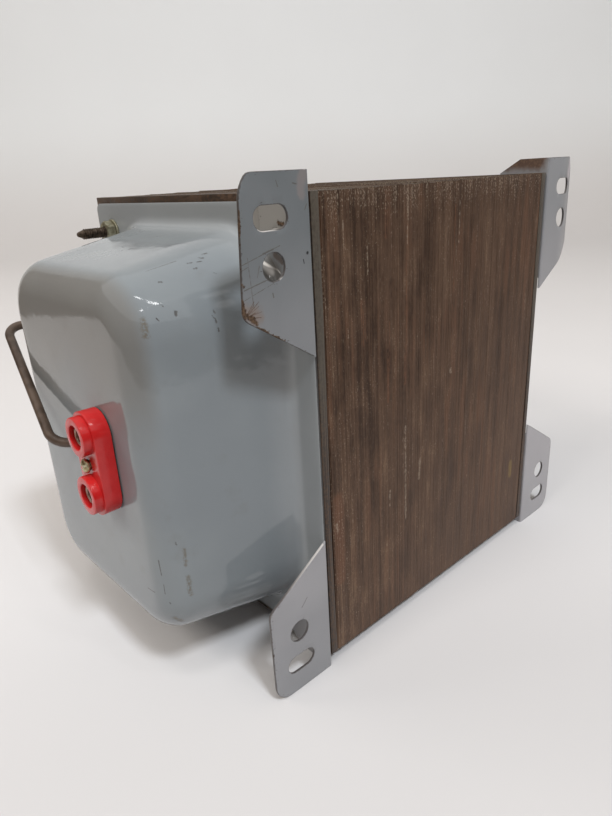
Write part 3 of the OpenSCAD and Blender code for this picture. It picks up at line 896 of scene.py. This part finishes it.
# how far each ear's outer strip leans in at its free end, and how far it curls back
earBends = {"ear_front_top": (1.9, 0.0), "ear_front_bottom": (0.2, 0.3), "ear_back_top": (0.4, 3.0),
            "ear_back_bottom": (0.0, 0.4)}


def markRim(bm, plateX, legY):    # stores how far each point lies from the plate's cut edges
    points = []
    for f in bm.faces:
        middle = f.calc_center_median()
        inEar = middle.x > plateX
        across = f.normal.x if inEar else f.normal.y
        if abs(across) < 0.3 and not (inEar and abs(middle.y - legY) < 1.6):
            points += [v.co.copy() for v in f.verts]
    tree = KDTree(len(points))
    for i, p in enumerate(points):
        tree.insert(p, i)
    tree.balance()
    rim = bm.verts.layers.float.new("rim")
    for v in bm.verts:
        v[rim] = tree.find(v.co)[2]


def buildEar(node, taper, curl):
    low, high = spanOf(node)
    front, top = low.y < 0, high.z > 0
    coreFace = spanOf("front_packet")[0].y if front else spanOf("back_packet")[1].y
    away = -1 if front else 1
    plateX = high.x - ears["plate"] - 0.01
    freeEnd = high.z if top else low.z
    bm = copyOf(node)
    roundEdges(bm, ears["round"])
    for axis in range(3):    # a finer mesh, so that the plate can bend
        direction = Vector([1 if i == axis else 0 for i in range(3)])
        count = int((high[axis] - low[axis]) / ears["mesh"][axis])
        for k in range(1, count):
            cutAt(bm, direction * (low[axis] + (high[axis] - low[axis]) * k / count), direction)
    bm.normal_update()
    markRim(bm, plateX, coreFace + away * bell["flange"])
    for v in bm.verts:
        reach = abs(v.co.y - coreFace)
        if v.co.x > plateX and reach > 3:
            atEnd = 1 - min(1, abs(v.co.z - freeEnd) / ears["leanHigh"])
            v.co.y -= away * taper * smooth((reach - ears["leanFrom"]) / ears["leanWide"]) * atEnd
            v.co.x -= curl * smooth((reach - ears["curlFrom"]) / ears["curlWide"]) ** 1.5
    finishPiece(node, bm, earCoat, ears["smoothing"])


for node, bends in earBends.items():
    buildEar(node, *bends)
print("ears built")


fixing = {"across": 7.0, "bore": 4.2, "chamfer": 0.3, "head": 1.4, "steps": 48, "smoothing": 45,
          "bolt": 4.0, "pitch": 0.7, "thread": 0.42, "ridge": 0.32, "threaded": 24.0, "point": 2.2,
          "washer": 9.0, "washerRound": 0.12}


def hexForm(bm, height, bore=0.0):    # a chamfered nut, or a head if it has no bore
    steps, half = fixing["steps"], fixing["across"] / 2
    flat = half * 0.96

    def hexagonal(z, inward):
        ring = []
        for a in turnsOf(steps):
            folded = (a + math.pi / 6) % (math.pi / 3) - math.pi / 6
            r = half / math.cos(folded)
            ring.append(Vector((r * math.cos(a), r * math.sin(a), z + inward * (r - flat) * 0.5)))
        return ring

    rings = [circle(flat, 0, steps), hexagonal(0, 1), hexagonal(height, -1), circle(flat, height, steps)]
    if bore:
        inner, cut = bore / 2, fixing["chamfer"]
        rings += [circle(inner + cut, height, steps), circle(inner, height - cut, steps),
                  circle(inner, cut, steps), circle(inner + cut, 0, steps), rings[0]]
        loft(bm, rings, False)
        bmesh.ops.remove_doubles(bm, verts=bm.verts, dist=1e-4)
    else:
        rings.append([p * 0.6 + Vector((0, 0, height * 0.4)) for p in rings[-1]])
        loft(bm, rings)


def alongY(bm, at, toFront):    # turns a form drawn along +Z to point forwards or backwards at that place
    turn = Matrix.Rotation(math.radians(90 if toFront else -90), 4, "X")
    bmesh.ops.transform(bm, matrix=Matrix.Translation(at) @ turn, verts=bm.verts)


def threadTree():
    group, given = newGroup("screwThread", "GeometryNodeTree", "Geometry", turns="Float",
                            radius="Float", length="Float", ridge="Float")
    spiral = put(group, "GeometryNodeCurveSpiral",
                 {"Resolution": 24, "Rotations": given["turns"], "Start Radius": given["radius"],
                  "End Radius": given["radius"], "Height": given["length"]})
    profile = put(group, "GeometryNodeCurvePrimitiveCircle", {"Resolution": 4, "Radius": given["ridge"]})
    closeGroup(group, put(group, "GeometryNodeCurveToMesh",
                          {"Curve": spiral, "Profile Curve": profile, "Fill Caps": True}))
    return group


threads = threadTree()


def formBolt(bm, length, toFront):
    f = fixing
    head, start = f["head"], length - f["threaded"]
    if toFront:
        hexForm(bm, head)
    else:
        r = f["across"] / 2 - 0.3    # a low domed head under the paint
        dome = [math.radians(a) for a in range(15, 91, 15)]
        lathe(bm, [(0.01, 0.05)] + [(r * math.sin(a), 0.05 + 0.55 * head * (1 - math.cos(a))) for a in dome]
              + [(r, head), (0.01, head)])
    shank = bmesh.new()
    radius, inner = f["bolt"] / 2, f["bolt"] / 2 - f["thread"]
    lathe(shank, [(0.01, 0.5), (radius, 0.5), (radius, start), (inner, start + 0.6),
                  (inner, length - f["point"]), (inner * 0.55, length - 0.3), (inner * 0.4, length),
                  (0.01, length)], 24)
    joinTo(bm, shank)
    ridgeLength = f["threaded"] - f["point"] - 0.4
    ridge = grownMesh("thread", threads, turns=ridgeLength / f["pitch"],
                      radius=(inner + 0.06) * mm, length=ridgeLength * mm, ridge=f["ridge"] * mm)
    ridge.transform(Matrix.Translation((0, 0, (start + 0.4) * mm)))
    ridge.transform(Matrix.Scale(1 / mm, 4))
    bm.from_mesh(ridge)


def formNut(bm, height, toFront):
    hexForm(bm, height, fixing["bore"])


def formWasher(bm, height, toFront):
    r, b, c = fixing["washer"] / 2, fixing["bore"] / 2, fixing["washerRound"]
    lathe(bm, [(b, 0), (r - c, 0), (r, c), (r, height - c), (r - c, height), (b + c, height), (b, height - c),
               (b, 0)], 40, False)
    bmesh.ops.remove_doubles(bm, verts=bm.verts, dist=1e-4)


def buildFixing(form, node, toFront, material=zincPlate):
    low, high = spanOf(node)    # toFront: its free end points to the front
    middle = (low + high) / 2
    bm = bmesh.new()
    form(bm, high.y - low.y, toFront)
    alongY(bm, Vector((middle.x, high.y if toFront else low.y, middle.z)), toFront)
    finishPiece(node, bm, material, fixing["smoothing"])


for side, far in (("near", False), ("far", True)):
    for end in ("top", "bottom"):
        place = side + "_" + end
        buildFixing(formBolt, "bolt_" + place, far, studSteel if far else bellCoat)
        buildFixing(formNut, "nut_" + place, far)
        buildFixing(formWasher, "back_washer_" + place, False)
        if far:
            buildFixing(formWasher, "front_washer_" + place, True)
print("bolts built")


socket = {"bodyRound": 0.45, "lipRound": 0.35, "foot": 0.6, "gasketInset": 0.3, "pressed": 0.55,
          "tubeForward": 1.3, "headHigh": 1.5, "slotWide": 0.8, "slotDeep": 0.8, "slotTurn": 25,
          "screw": 1.4, "screwTip": 1.1, "smoothing": 35}


def buildSocket():
    smoothing = socket["smoothing"]
    low, high = spanOf("socket_gasket")
    middle = (low + high) / 2
    pressed = (high.y - low.y) * socket["pressed"]
    seat, foot = spanOf("socket_body")[1].y, socket["foot"]
    bm = copyOf("socket_body")
    roundEdges(bm, socket["bodyRound"], 3, 50)
    for v in bm.verts:    # the moulding presses its gasket thin
        if v.co.y > seat - foot:
            v.co.y += pressed * (1 - (seat - v.co.y) / foot)
    finishPiece("socket_body", bm, redCoat, smoothing)
    bm = copyOf("socket_gasket")
    for v in bm.verts:    # drawn in a little under the moulding
        v.co.x -= socket["gasketInset"] * (1 if v.co.x > middle.x else -1)
        v.co.z -= socket["gasketInset"] * (1 if v.co.z > middle.z else -1)
        if v.co.y < middle.y:
            v.co.y += pressed
    finishPiece("socket_gasket", bm, gasketRubber, smoothing)
    for node in ("contact_upper", "contact_lower"):
        bm = copyOf(node)
        roundEdges(bm, socket["lipRound"], 3, 50)
        front = spanOf(node)[0].y
        for v in bm.verts:
            if v.co.y < front + 3:
                v.co.y -= socket["tubeForward"]
        finishPiece(node, bm, tubeNickel, smoothing)


def buildScrew():    # a domed head with a clean slot, and its shank
    low, high = spanOf("socket_screw")
    middle = (low + high) / 2
    r, h = (high.z - low.z) / 2, socket["headHigh"]
    seat = Vector((middle.x, low.y + h, middle.z))
    bm = bmesh.new()
    lathe(bm, [(0.01, 0), (r * 0.98, 0), (r, 0.15)]
          + [(r * math.cos(a), 0.15 + (h - 0.15) * math.sin(a)) for a in map(math.radians, range(10, 90, 10))]
          + [(0.01, h)], 48)
    turn = math.radians(socket["slotTurn"])
    aside = Vector((-math.sin(turn), math.cos(turn), 0))
    half = socket["slotWide"] / 2
    for offset in (-half - 0.03, -half, half, half + 0.03):
        cutAt(bm, aside * offset, aside)
    for v in bm.verts:
        if abs(v.co.dot(aside)) < half + 0.01:
            v.co.z = min(v.co.z, h - socket["slotDeep"])
    alongY(bm, seat, True)
    shank = bmesh.new()
    length, thick, tip = high.y - low.y - h, socket["screw"], socket["screwTip"]
    lathe(shank, [(0.01, 0), (thick, 0), (thick, length - 0.2), (tip, length), (0.01, length)], 24)
    alongY(shank, seat, False)
    joinTo(bm, shank)
    finishPiece("socket_screw", bm, brassWorn, 30)


buildSocket()
buildScrew()
print("socket built")


rod = {"thick": 3.2, "bend": 6.0, "sides": 20, "bendSteps": 12, "spacing": 2.5,
       "route": [(-100, -90, 31.2), (-119.4, -90, 31.2), (-119.4, -107.6, 31.2), (-68.9, -115.9, 0.2),
                 (-68.9, -102, 0.2)]}


def rodAxis():
    points = [Vector(p) for p in rod["route"]]
    path = [points[0]]
    for a, b, c in zip(points, points[1:], points[2:]):    # an arc round each corner
        u, v = (a - b).normalized(), (c - b).normalized()
        half = u.angle(v) / 2
        middle = b + (u + v).normalized() * rod["bend"] / math.sin(half)
        first, last = (b + leg * rod["bend"] / math.tan(half) - middle for leg in (u, v))
        sweep = math.pi - 2 * half
        for k in range(rod["bendSteps"] + 1):
            s = k / rod["bendSteps"]
            before, after = math.sin((1 - s) * sweep), math.sin(s * sweep)
            path.append(middle + (before * first + after * last) / math.sin(sweep))
    path.append(points[-1])
    dense = [path[0]]
    for a, b in zip(path, path[1:]):
        count = max(1, int((b - a).length / rod["spacing"]))
        dense += [a.lerp(b, k / count) for k in range(1, count + 1)]
    return dense


def buildRod():
    path = rodAxis()
    bm = bmesh.new()
    rings = []
    side = None
    for i, p in enumerate(path):
        along = (path[min(i + 1, len(path) - 1)] - path[max(i - 1, 0)]).normalized()
        side = (along.orthogonal() if side is None else side - along * side.dot(along)).normalized()
        up = along.cross(side)
        rings.append([p + rod["thick"] / 2 * (math.cos(a) * side + math.sin(a) * up)
                      for a in turnsOf(rod["sides"])])
    loft(bm, rings)
    finishPiece("bent_rod", bm, rodLacquer, 50)


buildRod()
print("rod built")


def buildTable(foot):    # foot: the lower front ear's lowest point
    s = stage
    coreLow = spanOf("lamination_stack")[0]
    tilt = (coreLow.z - foot) / coreLow.x    # the table touches the ears and the core's far edge
    profile = [(-s["half"], 0)]
    for k in range(s["coveSteps"] + 1):
        a = math.pi / 2 * k / s["coveSteps"]
        profile.append((s["wallAt"] - s["cove"] + s["cove"] * math.sin(a), s["cove"] * (1 - math.cos(a))))
    profile.append((s["wallAt"], s["wallHigh"]))
    a = math.radians(camera["azimuth"])
    across, ahead = Vector((math.cos(a), math.sin(a), 0)), Vector((-math.sin(a), math.cos(a), 0))
    bm = bmesh.new()
    left, right = ([bm.verts.new(ahead * d + across * edge + Vector((0, 0, z))) for d, z in profile]
                   for edge in (-s["half"], s["half"]))
    for i in range(len(profile) - 1):
        bm.faces.new((left[i], right[i], right[i + 1], left[i + 1]))
    for v in bm.verts:
        v.co.z += foot + tilt * v.co.x
    mesh = finishMesh(bm, "table", 60, outward=False)
    mesh.materials.append(tableFinish())
    show("table", mesh)


# the dim room round the table, hidden from the camera and from shadows, and open towards the backdrop
room = {"middle": (-40, -30), "reach": (650, 430), "high": 0.77, "below": 20, "turn": (-78, 150),
        "narrowFrom": -50, "narrowOver": 70, "steps": 36, "walls": (rgb(128, 118, 108), rgb(108, 100, 92))}


def buildRoom(foot):
    first, last = room["turn"]
    far, near = room["reach"]
    x, y = room["middle"]
    bm = bmesh.new()
    pairs = []
    for k in range(room["steps"] + 1):
        turn = first + (last - first) * k / room["steps"]
        a = math.radians(turn)
        reach = far + (near - far) * smooth((turn - room["narrowFrom"]) / room["narrowOver"])
        at = Vector((x + reach * math.sin(a), y - reach * math.cos(a), foot - room["below"]))
        pairs.append((bm.verts.new(at), bm.verts.new(at + Vector((0, 0, room["high"] * reach)))))
    for a, b in zip(pairs, pairs[1:]):
        bm.faces.new((a[0], b[0], b[1], a[1]))
    material, shader, place = newMaterial("roomDark", Roughness=1.0)
    feed(shader, blend(grain(place, 120), *room["walls"]))
    mesh = finishMesh(bm, "room", 60, outward=False)
    mesh.materials.append(material)
    shown = show("room", mesh)
    shown.visible_camera = False
    shown.visible_shadow = False


def makeWorld():
    world = bpy.data.worlds.new("world")
    world.use_nodes = True
    tree = world.node_tree
    path = tree.nodes.new("ShaderNodeLightPath").outputs
    seen = most(most(path["Is Camera Ray"], path["Is Glossy Ray"]), path["Is Transmission Ray"])
    strength = put(tree, "ShaderNodeMapRange", {"Value": seen, "To Min": stage["skyLight"],
                                                "To Max": stage["skySeen"]})
    background = tree.nodes["Background"].inputs
    tree.links.new(blend(seen, stage["skyTint"], (1, 1, 1, 1)), background[0])
    tree.links.new(strength, background[1])
    scene.world = world


foot = spanOf("ear_front_bottom")[0].z
buildTable(foot)
buildRoom(foot)
placeCamera()
placeLamps()
makeWorld()
scene.view_settings.view_transform = "Standard"
print("stage built")
